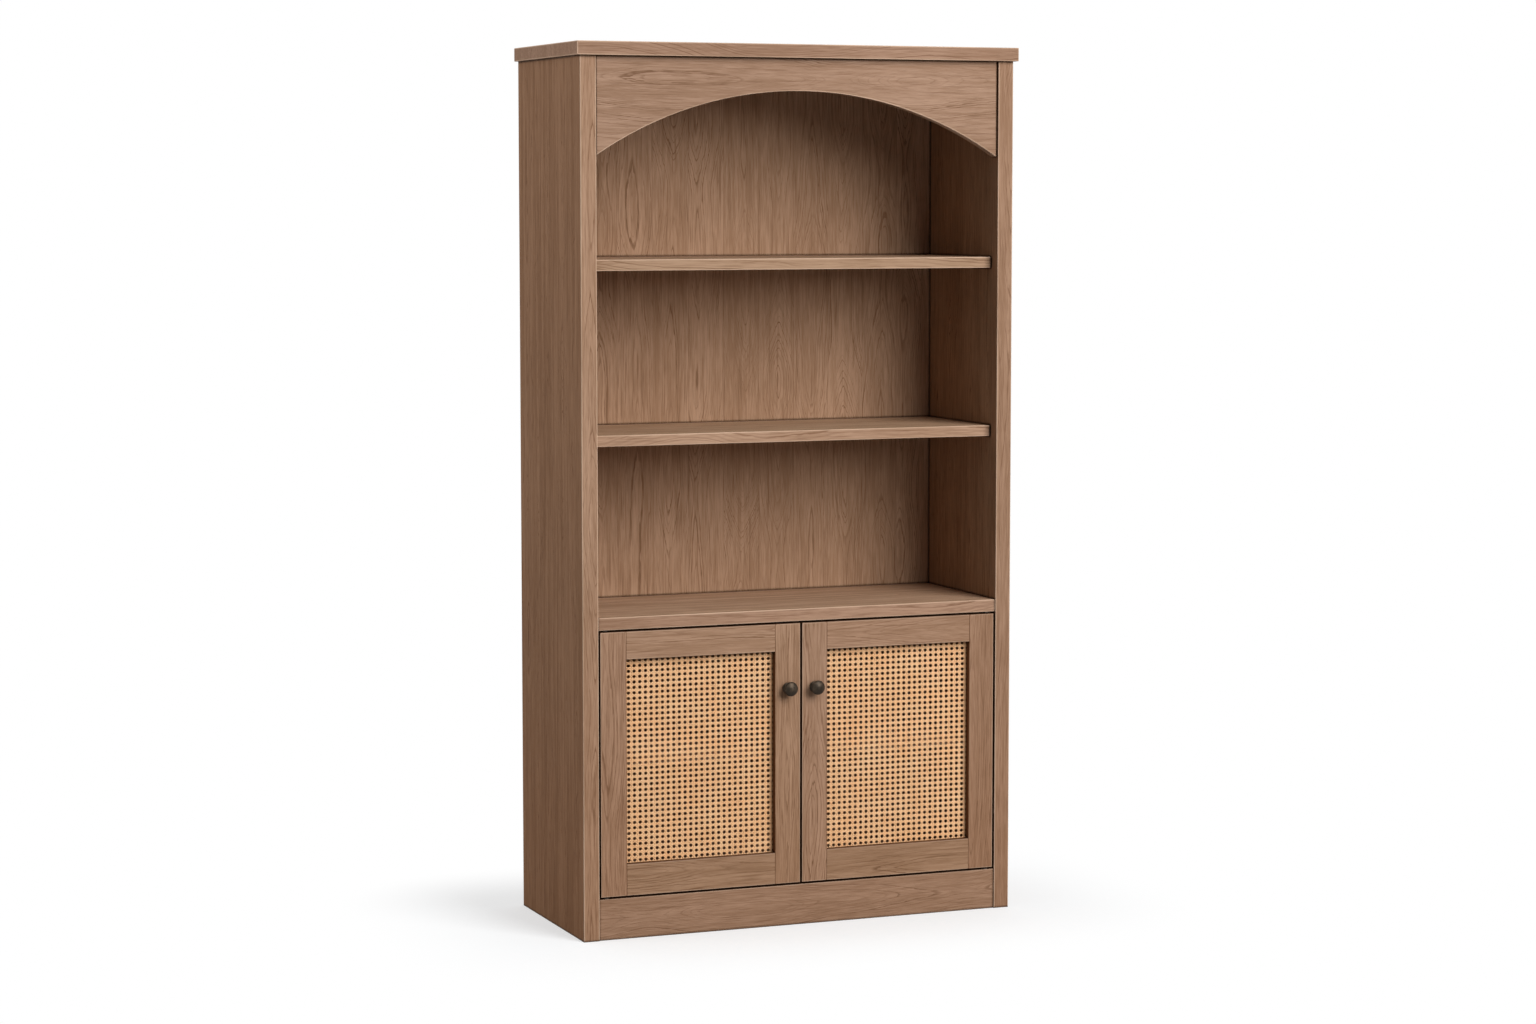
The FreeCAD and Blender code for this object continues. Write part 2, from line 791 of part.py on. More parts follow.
def strike_screw(side):
    """A countersunk screw whose head lies flush in the strike plate."""
    group = Fasteners()
    middle = Vector(side * knob_x, door_rear, strike_middle_z())
    inner = middle - ALONG_Y * small_screw_length
    shank = rod(inner, ALONG_Y, small_screw_radius, small_screw_length)
    head = Part.makeCone(small_screw_radius, small_screw_head_radius - hole_clearance,
                         strike_thickness, middle, ALONG_Y)
    group.add(shank.fuse(head).removeSplitter(),
              rod(inner - ALONG_Y * dowel_end_gap, ALONG_Y, small_screw_radius + hole_clearance,
                  small_screw_length + dowel_end_gap + cut_overrun))
    return group


def door(name, side):
    """All the pieces of one door, each under its own name."""
    pins = pivot_pins(side)
    screw_group = knob_screw(side)
    strike_group = strike_screw(side)
    bottom_span, top_span = rail_spans()
    return {
        f"{name}_door_hinge_stile": bored(door_stile(side, door_outer, opening_outer), pins.holes),
        f"{name}_door_meeting_stile": bored(door_stile(side, door_inner, opening_inner),
                                            screw_group.holes + strike_group.holes),
        f"{name}_door_top_rail": door_rail(side, top_span, door_top),
        f"{name}_door_bottom_rail": door_rail(side, bottom_span, door_bottom),
        f"{name}_door_cane_panel": cane_panel(side),
        f"{name}_door_cane_beads": cane_beads(side),
        f"{name}_door_pivot_pins": pins.group(),
        f"{name}_door_thrust_washer": thrust_washer(side),
        f"{name}_door_knob": knob(side),
        f"{name}_door_knob_screw": screw_group.group(),
        f"{name}_door_strike_plate": strike_plate(side),
        f"{name}_door_strike_screw": strike_group.group(),
    }


def case():
    """All the pieces that stand still, each under its own name."""
    dowels = shelf_dowels()
    bolts, locks = cam_fittings()
    tops, stiles, plinths, rails = top_dowels(), stile_dowels(), plinth_dowels(), rail_dowels()
    back_screws, pins = back_panel_screws(), cabinet_shelf_pins()
    bracket_screws, housing_screws = wall_bracket_screws(), catch_screws()
    bushes = {name: pivot_bushes(side) for name, side in SIDES.items()}
    bush_holes = [hole for group in bushes.values() for hole in group.holes]
    shelf_holes = dowels.holes + bolts.holes + locks.holes
    side_holes = (dowels.holes + bolts.holes + tops.holes + stiles.holes + plinths.holes
                  + rails.holes + pins.holes)

    pieces = {
        "top_panel": bored(top_panel(), tops.holes + bracket_screws.holes),
        "arched_valance": bored(arched_valance(), tops.holes),
        "back_panel": bored(back_panel(), back_screws.holes),
        "upper_rear_rail": bored(rear_rail(case_height - upper_rail_height, upper_rail_height),
                                 rails.holes),
        "lower_rear_rail": bored(rear_rail(floor_bottom, lower_rail_height), rails.holes),
        "upper_shelf": bored(shelf(upper_shelf_bottom), shelf_holes + back_screws.holes),
        "middle_shelf": bored(shelf(middle_shelf_bottom), shelf_holes + back_screws.holes),
        "deck_shelf": bored(deck_shelf(), shelf_holes + back_screws.holes + bush_holes
                            + housing_screws.holes),
        "cabinet_shelf": cabinet_shelf(),
        "cabinet_floor": bored(cabinet_floor(), shelf_holes),
        "plinth_board": bored(plinth_board(), plinths.holes + bush_holes),
        "rear_plinth": bored(rear_plinth(), plinths.holes),
        "shelf_dowels": dowels.group(),
        "cam_bolts": bolts.group(),
        "cam_locks": locks.group(),
        "top_dowels": tops.group(),
        "stile_dowels": stiles.group(),
        "plinth_dowels": plinths.group(),
        "rail_dowels": rails.group(),
        "back_panel_screws": back_screws.group(),
        "cabinet_shelf_pins": pins.group(),
        "wall_bracket_screws": bracket_screws.group(),
        "catch_screws": housing_screws.group(),
    }
    for name, side in SIDES.items():
        pieces[f"{name}_side_panel"] = bored(side_panel(side), side_holes)
        pieces[f"{name}_front_stile"] = bored(front_stile(side), stiles.holes + plinths.holes
                                              + dowels.holes)
        pieces[f"{name}_pivot_bushes"] = bushes[name].group()
        pieces[f"{name}_wall_bracket"] = bored(wall_bracket(side), bracket_screws.holes)
        pieces[f"{name}_catch_housing"] = bored(catch_housing(side), housing_screws.holes)
        pieces[f"{name}_catch_magnet"] = catch_pocket(side, 0)
    return pieces


def main():
    pieces = case()
    for name, side in SIDES.items():
        pieces.update(door(name, side))
    os.makedirs("parts", exist_ok=True)
    for name, shape in pieces.items():
        shape.exportStep(f"parts/{name}.step")
    print(len(pieces), "nodes")


main()
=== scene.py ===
import math
import random

import bpy
import numpy as np
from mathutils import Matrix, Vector


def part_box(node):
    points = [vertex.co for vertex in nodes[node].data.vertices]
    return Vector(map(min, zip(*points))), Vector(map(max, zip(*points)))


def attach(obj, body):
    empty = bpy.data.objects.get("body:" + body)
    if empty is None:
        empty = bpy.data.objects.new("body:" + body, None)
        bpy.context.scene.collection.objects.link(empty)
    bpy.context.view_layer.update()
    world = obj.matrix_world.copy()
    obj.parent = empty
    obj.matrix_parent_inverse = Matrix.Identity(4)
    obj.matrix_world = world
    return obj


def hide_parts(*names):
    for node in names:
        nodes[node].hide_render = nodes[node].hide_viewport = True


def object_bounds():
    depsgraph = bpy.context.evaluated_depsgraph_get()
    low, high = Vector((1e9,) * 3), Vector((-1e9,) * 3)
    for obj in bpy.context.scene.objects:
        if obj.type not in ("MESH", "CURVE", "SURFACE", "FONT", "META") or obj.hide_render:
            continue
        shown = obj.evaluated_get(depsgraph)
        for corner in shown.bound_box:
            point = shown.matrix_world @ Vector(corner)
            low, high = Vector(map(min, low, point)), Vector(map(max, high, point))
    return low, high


# Arched oak bookcase with two cane doors. Metres, in the part's own frame:
# X to the right, Y to the back, Z up, with the floor at Z = 0.

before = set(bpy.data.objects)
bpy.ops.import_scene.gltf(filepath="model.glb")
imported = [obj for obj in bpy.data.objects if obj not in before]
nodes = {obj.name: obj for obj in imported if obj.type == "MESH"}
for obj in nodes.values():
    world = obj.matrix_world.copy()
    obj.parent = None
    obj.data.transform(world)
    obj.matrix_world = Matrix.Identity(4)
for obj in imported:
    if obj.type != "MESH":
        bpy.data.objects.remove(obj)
cad_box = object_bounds()

# Camera, with its lens and sensor in millimetres
camera_place = (-2.7234, -6.7932, 1.5242)
camera_turn = math.radians(21.853)
camera_tilt = math.radians(5.253)
camera_lens = 81.11
camera_sensor = 36.0

# Light
key_place = (2.35, -5.95, 4.3)
key_aim = (0.0, 0.0, 0.95)
key_size = (3.6, 5.6)
key_power = 525.0
fill_place = (-2.6, 0.3, 2.4)
fill_aim = (-0.5, 0.0, 1.1)
fill_size = (1.0, 1.0)
fill_power = 15.4
sky_level = 0.48
sky_lean = (0.0, 0.48, 0.0)

# Floor
floor_colour = (0.25, 0.25, 0.25)
floor_shown = (0.490, 0.500, 0.508)
floor_glow = 0.505
floor_half = 30.0
fade_start = 0.05
fade_end = 0.42

# Colours, linear
white = (1.0, 1.0, 1.0)
oak_light = (0.440, 0.268, 0.174)
oak_middle = (0.330, 0.190, 0.115)
oak_dark = (0.205, 0.106, 0.058)
# Painted highlight along the arrises, where the finish is also rubbed thin
oak_edge_highlight = (0.700, 0.490, 0.350)
# Dark joints, and painted shade in corners, crevices and gaps
oak_joint_and_shade = (0.030, 0.012, 0.005)
# Painted shade that widens the dark gaps
oak_gap_shade = (0.090, 0.032, 0.010)
cane_light = (1.000, 0.625, 0.335)
cane_middle = (0.960, 0.515, 0.235)
# Darker streaks in the cane, and painted shade on the strands' rims
cane_stain_and_shade = (0.240, 0.065, 0.008)
bronze_dark = (0.022, 0.015, 0.009)
bronze_worn = (0.050, 0.034, 0.021)
steel_dull = (0.50, 0.51, 0.52)
steel_bright = (0.66, 0.66, 0.65)
nylon_dark = (0.050, 0.034, 0.026)
nylon_light = (0.075, 0.054, 0.042)
magnet_dark = (0.035, 0.035, 0.038)
magnet_light = (0.075, 0.075, 0.080)
beech_light = (0.60, 0.42, 0.25)
beech_fleck = (0.48, 0.31, 0.17)

# Noise drawn out along the grain: its scale along the grain, its scale across it and its detail
fibre_sizes = (16.0, 190.0, 3.0)
pore_sizes = (24.0, 700.0, 2.0)
thread_sizes = (7.0, 280.0, 1.0)
band_sizes = (1.6, 60.0, 2.0)
cloud_sizes = (3.0, 9.0, 2.0)
ripple_sizes = (18.0, 240.0, 2.0)
lapse_sizes = (5.0, 24.0, 2.0)
bend_sizes = (1.6, 3.0, 1.0)
streak_roughness = 0.6
skin_scale = 300.0

# Growth rings
ring_width = 0.0078
ring_drift = 2.5
ring_ripple = 0.9
year_scale = 90.0
flank_share = 9.0
heart_shift = 0.05
heart_bend = 0.04

# Veneer leaves
leaf_width = 0.081
leaf_travel = 40.0
seam_width = 0.0012

# How far each kind of streak moves the tone between the middle and the light colour
fibre_swing = 2.6
band_swing = 1.5
cloud_swing = 1.3
leaf_swing = 0.30

# Between what values a noise turns into a mark, and how much of the mark is left where it is weakest
pore_onset = (0.54, 0.70)
thread_onset = (0.60, 0.76)
line_rise = (0.0, 0.10)
line_fall = (0.42, 0.10)
year_onset = (0.2, 0.9)
weakest_year = 0.30
lapse_onset = (0.30, 0.60)
weakest_stretch = 0.25
# Patches in the painted edge highlight and the rubbed finish
edge_light_onset = (0.30, 0.60)
weakest_edge_light = 0.55

# How squarely a surface looks along an axis before it counts as an edge, and as a rounded arris that takes
# the painted edge highlight
edge_onset = (0.70, 0.50)
rounding_onset = (0.99, 0.90)

# How much of its colour each kind of mark lays over the wood
line_share = 0.95
thread_share = 0.60
pore_share = 0.30
seam_share = 0.35
edge_highlight_share = 0.85
joint_share = 0.50
gap_shade_share = 0.85

# The relief of the wood, as shares of the bump's depth
fibre_height = 0.35
pore_depth = 0.6
line_depth = 0.4

# How wide the marks along a board's edges are
edge_width = 0.0028
joint_width = 0.0010
# Painted shade in corners, crevices and gaps: how far it reaches, where it sets in and how many rays gauge it
corner_shade_reach = 0.0055
corner_shade_onset = (0.95, 0.58)
corner_shade_samples = 4

# Painted shade: the colour is a little darker and warmer towards the floor
floor_shade_tint = (0.95, 0.89, 0.83)
floor_shade_height = 0.80

# Where a board's figure is centred across it, how often it turns over in a metre, how far it wanders
# and how blunt its tips are
plain_heart = (0.0, 1.7, 0.20, 0.003)
hearts = {
    "arched_valance": (0.050, 2.6, 0.26, 0.006),
    "plinth_board": (0.0, 2.6, 0.22, 0.005),
    "back_panel": (0.0, 2.3, 0.27, 0.003),
    "left_side_panel": (0.0, 2.0, 0.26, 0.003),
}

# The end at which a board is glued flush to the next, such as Y- for the end at low Y. It gets no painted
# edge highlight and isn't rubbed.
glued_ends = {
    "left_side_panel": "Y-",
    "right_side_panel": "Y-",
    "left_front_stile": "Y+",
    "right_front_stile": "Y+",
    "left_door_hinge_stile": "X+",
    "left_door_meeting_stile": "X-",
    "right_door_meeting_stile": "X+",
    "right_door_hinge_stile": "X-",
}

# How strongly a board is banded along its grain, where that isn't band_swing
streakiness = {
    "left_side_panel": 3.4,
    "deck_shelf": 4.0,
    "arched_valance": 1.8,
    "left_door_hinge_stile": 0.8,
}

# The ends at which a board meets a dark gap, and the width of the painted shade that widens the gap there
no_gap_shade = ((), 0.0)
gap_shades = {
    "arched_valance": (("X+", "Z+"), 0.0024),
    "plinth_board": (("Z-", "Z+"), 0.0012),
    "left_front_stile": (("Z-", "Z+"), 0.0016),
    "right_front_stile": (("Z-", "Z+"), 0.0016),
}

# The boards whose grain runs upright and the boards whose grain runs level, with the axis that each
# looks along
upright_boards = {
    "left_side_panel": "X",
    "right_side_panel": "X",
    "back_panel": "Y",
    "left_front_stile": "Y",
    "right_front_stile": "Y",
}
level_boards = {
    "top_panel": "Z",
    "deck_shelf": "Z",
    "middle_shelf": "Z",
    "upper_shelf": "Z",
    "cabinet_shelf": "Z",
    "cabinet_floor": "Z",
    "arched_valance": "Y",
    "plinth_board": "Y",
    "rear_plinth": "Y",
    "upper_rear_rail": "Y",
    "lower_rear_rail": "Y",
}
for door in ("left_door", "right_door"):
    for board in ("hinge_stile", "meeting_stile"):
        upright_boards[f"{door}_{board}"] = "Y"
        gap_shades[f"{door}_{board}"] = (("X-", "X+", "Z-", "Z+"), 0.0016)
    upright_boards[f"{door}_cane_beads"] = "Y"
    for board in ("top_rail", "bottom_rail"):
        level_boards[f"{door}_{board}"] = "Y"
        gap_shades[f"{door}_{board}"] = (("Z-", "Z+"), 0.0016)

# How much lighter or darker than plain oak a board's faces are, and its edges where they differ: partly the
# board's own tone, partly painted light and shade where the lamps light a board too much or too little
tones_and_painted_light = {
    "left_front_stile": (1.12, 1.14, 1.16),
    "right_front_stile": (0.98, 0.98, 0.99),
    "arched_valance": (1.02, 1.06, 1.12),
    "left_door_hinge_stile": (1.02, 1.02, 1.03),
    "left_door_meeting_stile": (1.04, 1.06, 1.06),
    "left_door_top_rail": (1.12, 1.16, 1.19),
    "left_door_bottom_rail": (1.04, 1.09, 1.10),
    "right_door_meeting_stile": (1.06, 1.09, 1.13),
    "right_door_top_rail": (1.01, 1.02, 1.03),
    "right_door_bottom_rail": (1.04, 1.09, 1.10),
    "right_door_hinge_stile": (0.93, 0.91, 0.90),
    "plinth_board": (1.05, 1.10, 1.17),
    "upper_shelf": (1.20, 1.28, 1.30),
    "middle_shelf": (1.20, 1.30, 1.30),
    "deck_shelf": (1.27, 1.36, 1.40),
    "back_panel": (1.08, 1.11, 1.10),
    "left_side_panel": (0.83, 0.75, 0.66),
    "right_side_panel": (0.90, 0.90, 0.84),
}
# Painted light and shade on the edges: the valance's dark soffit, the front stiles' sides, and the shelves'
# front edges against their lighter tops
edge_tones_and_painted_light = {
    "arched_valance": (0.42, 0.34, 0.28),
    "left_front_stile": (0.83, 0.75, 0.66),
    "right_front_stile": (0.92, 0.91, 0.87),
    "top_panel": (0.99, 1.01, 1.07),
    "upper_shelf": (1.05, 1.11, 1.11),
    "middle_shelf": (1.15, 1.19, 1.23),
    "deck_shelf": (1.04, 1.05, 1.09),
}

# Each board's figure is drawn with its own seed
first_seed = 1.0
seed_step = 7.3

# Cane skin: how finely its streaks change across and along a strand and from strand to strand, the scale of
# its blotches, how far strands differ, and where its rims, darkened as painted shade, and its darker streaks
# begin and end
cane_streak_scales = (3.0, 30.0, 90.0)
cane_blotch_scale = 26.0
cane_swing = 0.16
cane_rim_shade = (0.34, 0.50)
cane_rim_shade_share = 0.45
cane_stain = (0.40, 0.25)
cane_stain_share = 0.35

# The valance's arch
arch_half = 0.446
arch_rise = 0.134
crown_height = 0.067
arch_radius = (arch_half ** 2 + arch_rise ** 2) / (2 * arch_rise)
arch_centre_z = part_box("arched_valance")[1].z - crown_height - arch_radius

# Cane weave
cane_pitch_x = 0.01233
cane_pitch_z = 0.0112
upright_width = 0.0028
upright_spacing = 0.0029
crosswise_width = 0.0024
crosswise_spacing = 0.0025
diagonal_width = 0.0019
strand_thickness = 0.0007
pair_lift = 0.0004
diagonal_lift = 0.0007
samples_per_pitch = 6
cane_seeds = {"left_door": 11, "right_door": 23}

# How far strands wander sideways, and between what limits that and their widths are drawn
strand_wander = 0.00022
wander_share = (0.3, 1.0)
wander_speed = (25, 60)
pair_width_share = (0.93, 1.07)
diagonal_width_share = (0.92, 1.08)

# A strand's outline where it is cut across, as shares of its width and of its thickness
strand_outline = ((-0.5, -0.1), (-0.27, 0.5), (0.27, 0.5), (0.5, -0.1), (0.0, -0.5))


class Shader:
    """A node tree, a new material's or one that is given, built from calls that give back sockets."""

    def __init__(self, name_or_tree):
        self.tree = name_or_tree
        if isinstance(name_or_tree, str):
            self.material = bpy.data.materials.new(name_or_tree)
            self.material.use_nodes = True
            self.tree = self.material.node_tree
            self.surface = self.tree.nodes["Principled BSDF"]

    def node(self, kind, values=(), **settings):
        made = self.tree.nodes.new(kind)
        for name, value in settings.items():
            setattr(made, name, value)
        for key, value in dict(values).items():
            self.feed(made.inputs[key], value)
        return made

    def feed(self, socket, value):
        if isinstance(value, bpy.types.NodeSocket):
            self.tree.links.new(value, socket)
        elif socket.type == "RGBA" and len(value) == 3:
            socket.default_value = (*value, 1.0)
        else:
            socket.default_value = value

    def calc(self, operation, *values, clamp=False):
        made = self.node("ShaderNodeMath", dict(enumerate(values)), operation=operation, use_clamp=clamp)
        return made.outputs[0]

    def coordinates(self, kind="Object"):
        return self.node("ShaderNodeTexCoord").outputs[kind]

    def xyz(self, x, y, z):
        return self.node("ShaderNodeCombineXYZ", {0: x, 1: y, 2: z}).outputs[0]

    def parts(self, vector):
        """A vector's X, Y and Z."""
        return self.node("ShaderNodeSeparateXYZ", {0: vector}).outputs

    def scaled(self, parts, scales):
        """A vector of three parts, each times its own scale."""
        return self.xyz(*(self.calc("MULTIPLY", part, scale) for part, scale in zip(parts, scales)))

    def noise(self, vector, scale=1.0, detail=2.0, roughness=0.5):
        values = {"Vector": vector, "Scale": scale, "Detail": detail, "Roughness": roughness}
        return self.node("ShaderNodeTexNoise", values).outputs["Fac"]

    def dice(self, vector):
        """A colour and a value drawn by chance, the same wherever the vector is the same."""
        return self.node("ShaderNodeTexWhiteNoise", {"Vector": vector}).outputs

    def steps(self, value, low, high, to_low=0.0, to_high=1.0):
        """value eased from to_low at low to to_high at high."""
        values = {"Value": value, "From Min": low, "From Max": high, "To Min": to_low, "To Max": to_high}
        made = self.node("ShaderNodeMapRange", values, interpolation_type="SMOOTHSTEP")
        return made.outputs["Result"]

    def swing(self, value, size):
        """value, from 0 to 1, moved to lie about 0 and scaled."""
        return self.calc("MULTIPLY", self.calc("SUBTRACT", value, 0.5), size)

    def mix(self, share, first, second, blend="MIX"):
        values = {"Factor": share, "A": first, "B": second}
        made = self.tree.nodes.new("ShaderNodeMix")
        made.data_type = "RGBA"
        made.blend_type = blend
        for socket in made.inputs:
            if socket.enabled and socket.name in values:
                self.feed(socket, values[socket.name])
        return next(s for s in made.outputs if s.enabled)

    def marked(self, colour, mark, share, mark_colour):
        """colour with a mark laid over it, whose own strength is scaled by share."""
        return self.mix(self.calc("MULTIPLY", mark, share), colour, mark_colour)

    def finish(self, colour, roughness, height, bump_depth, **constants):
        self.feed(self.surface.inputs["Base Color"], colour)
        self.feed(self.surface.inputs["Roughness"], roughness)
        bump = self.node("ShaderNodeBump", {"Height": height, "Distance": bump_depth, "Strength": 1.0})
        self.feed(self.surface.inputs["Normal"], bump.outputs[0])
        for name, value in constants.items():
            self.surface.inputs[name.replace("_", " ")].default_value = value
        return self.material


class Oak(Shader):
    """Grey-brown oak for one board. Its grain runs along one axis, and face is the axis it looks along.
    A panel is laid up from veneer leaves side by side, and a board is one piece.
    """

    def __init__(self, name, grain, face, leaves, seed):
        super().__init__(f"oak_{name}")
        self.name = name
        self.face = face
        self.leaves = leaves
        self.seed = seed
        self.axes = self.parts(self.coordinates())
        across_axis = next(axis for axis in "XYZ" if axis not in (grain, face))
        self.across = self.axes[across_axis]
        self.lay_up(across_axis, grain)
        self.draw_figure()

    def lay_up(self, across_axis, grain):
        """Where a point lies in its veneer leaf, each with its own figure and tone."""
        low, high = (getattr(corner, across_axis.lower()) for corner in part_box(self.name))
        middle = self.calc("SUBTRACT", self.across, (low + high) / 2)
        self.leaf = self.calc("ROUND", self.calc("DIVIDE", middle, leaf_width)) if self.leaves else 0.0
        self.local = self.calc("SUBTRACT", middle, self.calc("MULTIPLY", self.leaf, leaf_width))
        chance = self.dice(self.xyz(self.leaf, self.seed, 0.0))
        self.leaf_draw = self.node("ShaderNodeSeparateColor", {0: chance["Color"]}).outputs[0]
        travel = self.calc("MULTIPLY", chance["Value"], leaf_travel)
        self.run = self.calc("ADD", self.axes[grain], travel)

    def streaks(self, sizes, other):
        """Noise drawn out along the grain, which other sets apart from noise of the same sizes."""
        along_scale, across_scale, detail = sizes
        along = self.calc("MULTIPLY", self.run, along_scale)
        across = self.calc("MULTIPLY", self.across, across_scale)
        return self.noise(self.xyz(along, across, other), 1.0, detail, streak_roughness)

    def leaf_noise(self, value, scale):
        """Slow noise that follows one value and differs from leaf to leaf."""
        place = self.xyz(self.calc("MULTIPLY", value, scale), self.seed, self.leaf)
        return self.noise(place, detail=1.0)

    def draw_figure(self):
        """Growth lines, fibres, open pores, dark threads, and slow changes of tone in bands and clouds."""
        skin = self.calc("MULTIPLY", self.axes[self.face], skin_scale)
        self.line = self.growth_line(self.ring_phase())
        self.fibre = self.streaks(fibre_sizes, skin)
        self.pore = self.steps(self.streaks(pore_sizes, skin), *pore_onset)
        self.thread = self.steps(self.streaks(thread_sizes, skin), *thread_onset)
        self.band = self.streaks(band_sizes, self.seed)
        self.cloud = self.streaks(cloud_sizes, self.seed)

    def ring_phase(self):
        """How many growth rings lie between a point and the log's heart, which wanders near the cut."""
        heart_level, turns, wander, tip_width = hearts.get(self.name, plain_heart)
        shift = self.calc("SUBTRACT", self.swing(self.leaf_draw, heart_shift), heart_level)
        bend = self.swing(self.streaks(bend_sizes, self.seed), heart_bend)
        aside = self.calc("ADD", self.local, self.calc("ADD", shift, bend))
        square = self.calc("MULTIPLY", aside, aside)
        flank = self.calc("SQRT", self.calc("ADD", square, tip_width ** 2))
        reach = self.calc("ADD", flank, self.calc("MULTIPLY", square, flank_share))
        heart = self.leaf_noise(self.run, turns)
        depth = self.calc("ADD", self.swing(heart, wander), self.axes[self.face])
        reach = self.calc("ADD", reach, depth)
        drift = self.calc("MULTIPLY", self.leaf_noise(reach, year_scale), ring_drift)
        phase = self.calc("ADD", self.calc("DIVIDE", reach, ring_width), drift)
        ripple = self.calc("MULTIPLY", self.streaks(ripple_sizes, self.seed), ring_ripple)
        return self.calc("ADD", phase, ripple)

    def growth_line(self, phase):
        """A dark line once a ring, stronger in some years than in others, with weak stretches."""
        ring = self.calc("FRACT", phase)
        line = self.calc("MULTIPLY", self.steps(ring, *line_rise), self.steps(ring, *line_fall))
        year = self.dice(self.xyz(self.calc("FLOOR", phase), self.leaf, self.seed))["Value"]
        line = self.calc("MULTIPLY", line, self.steps(year, *year_onset, to_low=weakest_year))
        lapse = self.streaks(lapse_sizes, self.seed)
        return self.calc("MULTIPLY", line, self.steps(lapse, *lapse_onset, to_low=weakest_stretch))

    def wood_colour(self):
        """The board's colour away from its edges, before it is shaded."""
        banded = self.swing(self.band, streakiness.get(self.name, band_swing))
        uneven = self.calc("ADD", banded, self.swing(self.cloud, cloud_swing))
        tone = self.calc("ADD", self.swing(self.fibre, fibre_swing), uneven)
        tone = self.calc("ADD", tone, self.swing(self.leaf_draw, leaf_swing))
        tone = self.calc("ADD", tone, 0.5, clamp=True)
        colour = self.mix(tone, oak_middle, oak_light)
        marks = [(self.line, line_share), (self.thread, thread_share), (self.pore, pore_share)]
        if self.leaves:
            half = leaf_width / 2
            aside = self.calc("ABSOLUTE", self.local)
            seam = self.steps(aside, half - seam_width, half - seam_width / 4)
            marks.append((seam, seam_share))
        for mark, share in marks:
            colour = self.marked(colour, mark, share, oak_dark)
        return colour

    def shaded(self, colour, facing, shade, edge_shade):
        """colour times the tone of the board's faces or edges, which is partly painted light and shade, and
        with painted shade darker and warmer towards the floor.
        """
        turned = self.steps(facing[self.face], *edge_onset)
        colour = self.mix(1.0, colour, self.mix(turned, shade, edge_shade), "MULTIPLY")
        # Painted shade, darker and warmer towards the floor
        lifted = self.steps(self.axes["Z"], 0.0, floor_shade_height)
        return self.mix(1.0, colour, self.mix(lifted, floor_shade_tint, white), "MULTIPLY")

    def end_gap(self, end):
        """How far a point lies inside one end of its board, such as X+ for the end at high X."""
        axis, sign = end
        low, high = (getattr(corner, axis.lower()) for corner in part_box(self.name))
        if sign == "+":
            return self.calc("SUBTRACT", high, self.axes[axis])
        return self.calc("SUBTRACT", self.axes[axis], low)

    def edge_gap(self, axis):
        """How far a point lies from the nearer end of its board along one axis."""
        return self.calc("MINIMUM", self.end_gap(f"{axis}-"), self.end_gap(f"{axis}+"))

    def arch_gap(self):
        """How far a point of the valance lies from the arch."""
        x = self.axes["X"]
        rise = self.calc("SUBTRACT", self.axes["Z"], arch_centre_z)
        square = self.calc("ADD", self.calc("MULTIPLY", x, x), self.calc("MULTIPLY", rise, rise))
        return self.calc("ABSOLUTE", self.calc("SUBTRACT", self.calc("SQRT", square), arch_radius))

    def arris_gap(self, gaps, joined):
        """How far a point lies from the board's nearest arris: the second smallest of its gaps to the
        ends that show, or to the arch.
        """
        free = [gap for axis, gap in gaps.items() if axis not in joined]
        nearest = self.calc("MINIMUM", free[0], free[1])
        second = self.calc("MAXIMUM", free[0], free[1])
        if len(free) == 3:
            second = self.calc("MAXIMUM", nearest, self.calc("MINIMUM", second, free[2]))
        if self.name == "arched_valance":
            second = self.calc("MINIMUM", second, self.calc("MAXIMUM", self.arch_gap(), gaps["Y"]))
        return second

    def highlit_and_rubbed(self, gaps, joined, facing):
        """1 along the arrises and on their rounding, where a painted highlight is laid and the finish is also
        rubbed thin, and 0 elsewhere.
        """
        along_arris = self.steps(self.arris_gap(gaps, joined), edge_width, edge_width / 3)
        squarest = self.calc("MAXIMUM", self.calc("MAXIMUM", facing["X"], facing["Y"]), facing["Z"])
        strength = self.calc("MAXIMUM", along_arris, self.steps(squarest, *rounding_onset))
        patches = self.steps(self.cloud, *edge_light_onset, to_low=weakest_edge_light)
        strength = self.calc("MULTIPLY", strength, patches)
        if self.name in glued_ends:
            glued = self.end_gap(glued_ends[self.name])
            strength = self.calc("MULTIPLY", strength, self.steps(glued, edge_width, 2 * edge_width))
        return strength

    def edged(self, colour, facing, joined):
        """colour with a painted highlight along its edges, where the finish is also rubbed thin, dark joints,
        painted shade beside dark gaps and painted shade in corners and crevices.
        """
        gaps = {axis: self.edge_gap(axis) for axis in "XYZ"}
        colour = self.marked(colour, self.highlit_and_rubbed(gaps, joined, facing), edge_highlight_share, oak_edge_highlight)
        for axis in joined:
            joint = self.steps(gaps[axis], joint_width, joint_width / 3)
            colour = self.marked(colour, joint, joint_share, oak_joint_and_shade)
        gap_shaded_ends, gap_shade_width = gap_shades.get(self.name, no_gap_shade)
        # Painted shade beside the dark gaps at these ends
        for end in gap_shaded_ends:
            gap_shade_mask = self.steps(self.end_gap(end), gap_shade_width, gap_shade_width / 3)
            colour = self.marked(colour, gap_shade_mask, gap_shade_share, oak_gap_shade)
        # Painted shade: darker where the surface is hemmed in, in corners, crevices and gaps
        reach = {"Distance": corner_shade_reach}
        corner = self.node("ShaderNodeAmbientOcclusion", reach, samples=corner_shade_samples).outputs["AO"]
        return self.mix(self.steps(corner, *corner_shade_onset), colour, oak_joint_and_shade)

